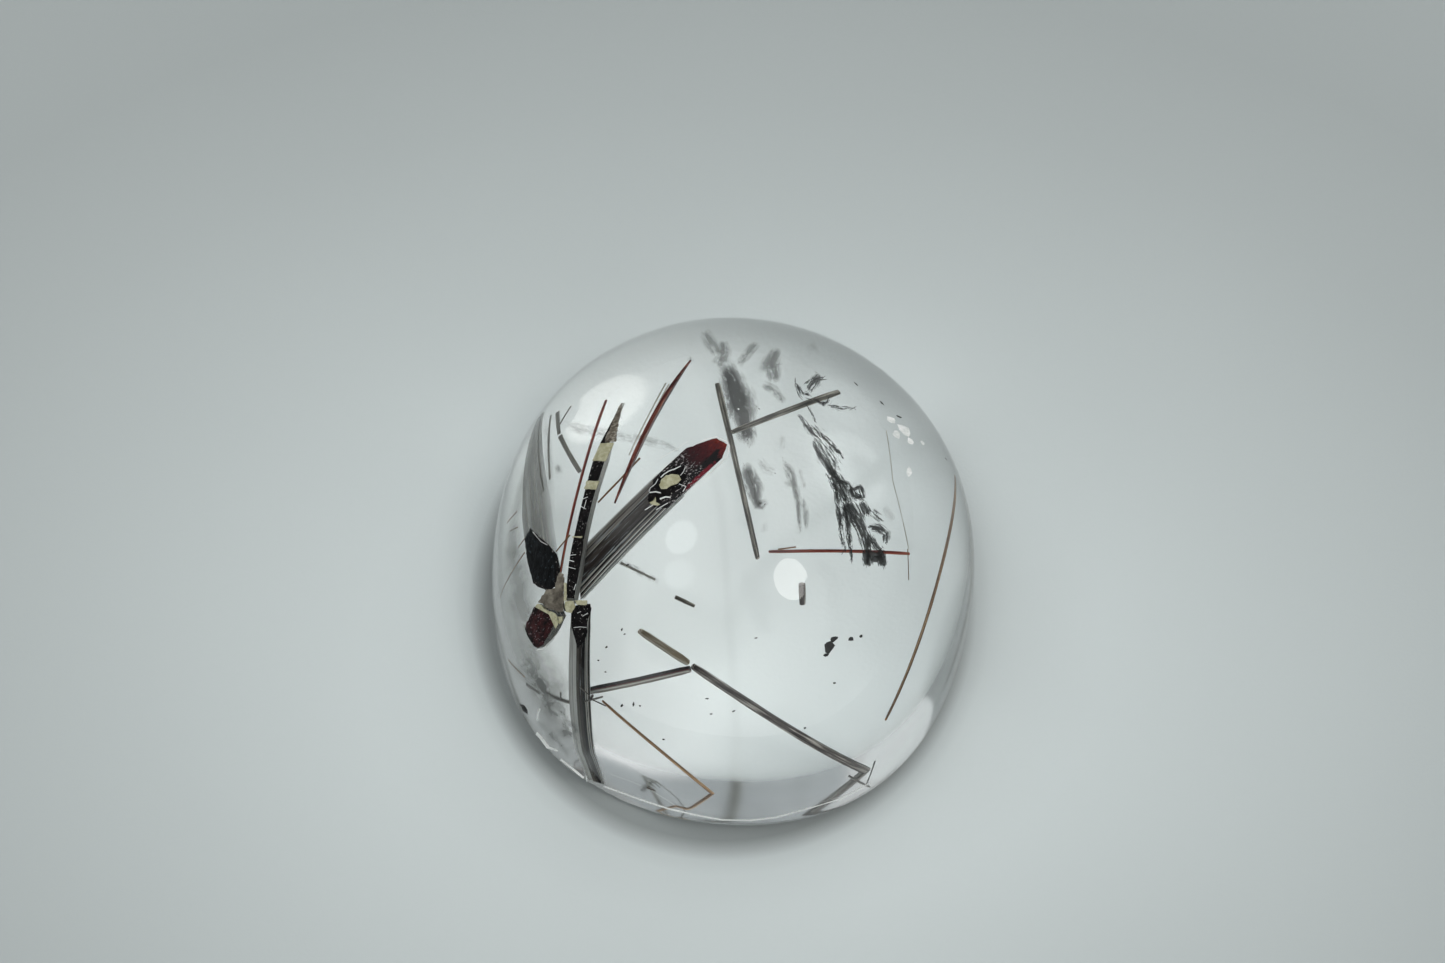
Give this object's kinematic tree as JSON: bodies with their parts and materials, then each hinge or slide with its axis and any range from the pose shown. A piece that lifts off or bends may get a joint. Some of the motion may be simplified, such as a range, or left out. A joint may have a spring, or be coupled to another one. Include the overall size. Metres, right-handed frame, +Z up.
{
  "type": "quartz cabochon",
  "caption": "Clear quartz cabochon: a polished oval dome with a flat base, holding dark flattened blades and fine red and grey needles that run through it and reach its surface.",
  "frame": {"origin": "centre of the flat base, on the surface the stone rests on", "axes": "+Z up through the dome, +Y along the stone's longer width, away from the viewer of the picture, +X to the viewer's right"},
  "size_m": [0.0279, 0.0303, 0.0157],
  "materials": {
    "clear_quartz": "clear rock crystal, mirror polish",
    "dark_blade": "striated dark grey-brown crystal, semi-metallic sheen",
    "black_blade": "black crystal cut level with the polish, satin, with cream filling",
    "red_crystal": "red-brown translucent needle",
    "grey_crystal": "grey striated rod"
  },
  "bodies": {
    "root": {"quartz_upper": "clear_quartz", "quartz_lower": "clear_quartz", "broad_blade": "dark_blade", "banded_blade": "black_blade", "lower_blade": "dark_blade", "left_blade": "dark_blade", "corner_blade": "black_blade", "red_needle": "red_crystal", "thin_red_needle": "red_crystal", "red_line_needle": "red_crystal", "right_needle": "red_crystal", "front_needle": "red_crystal", "upper_rod": "grey_crystal", "side_rod": "grey_crystal", "long_rod_upper": "grey_crystal", "long_rod": "grey_crystal", "cross_rod": "black_blade"}
  },
  "joints": []
}
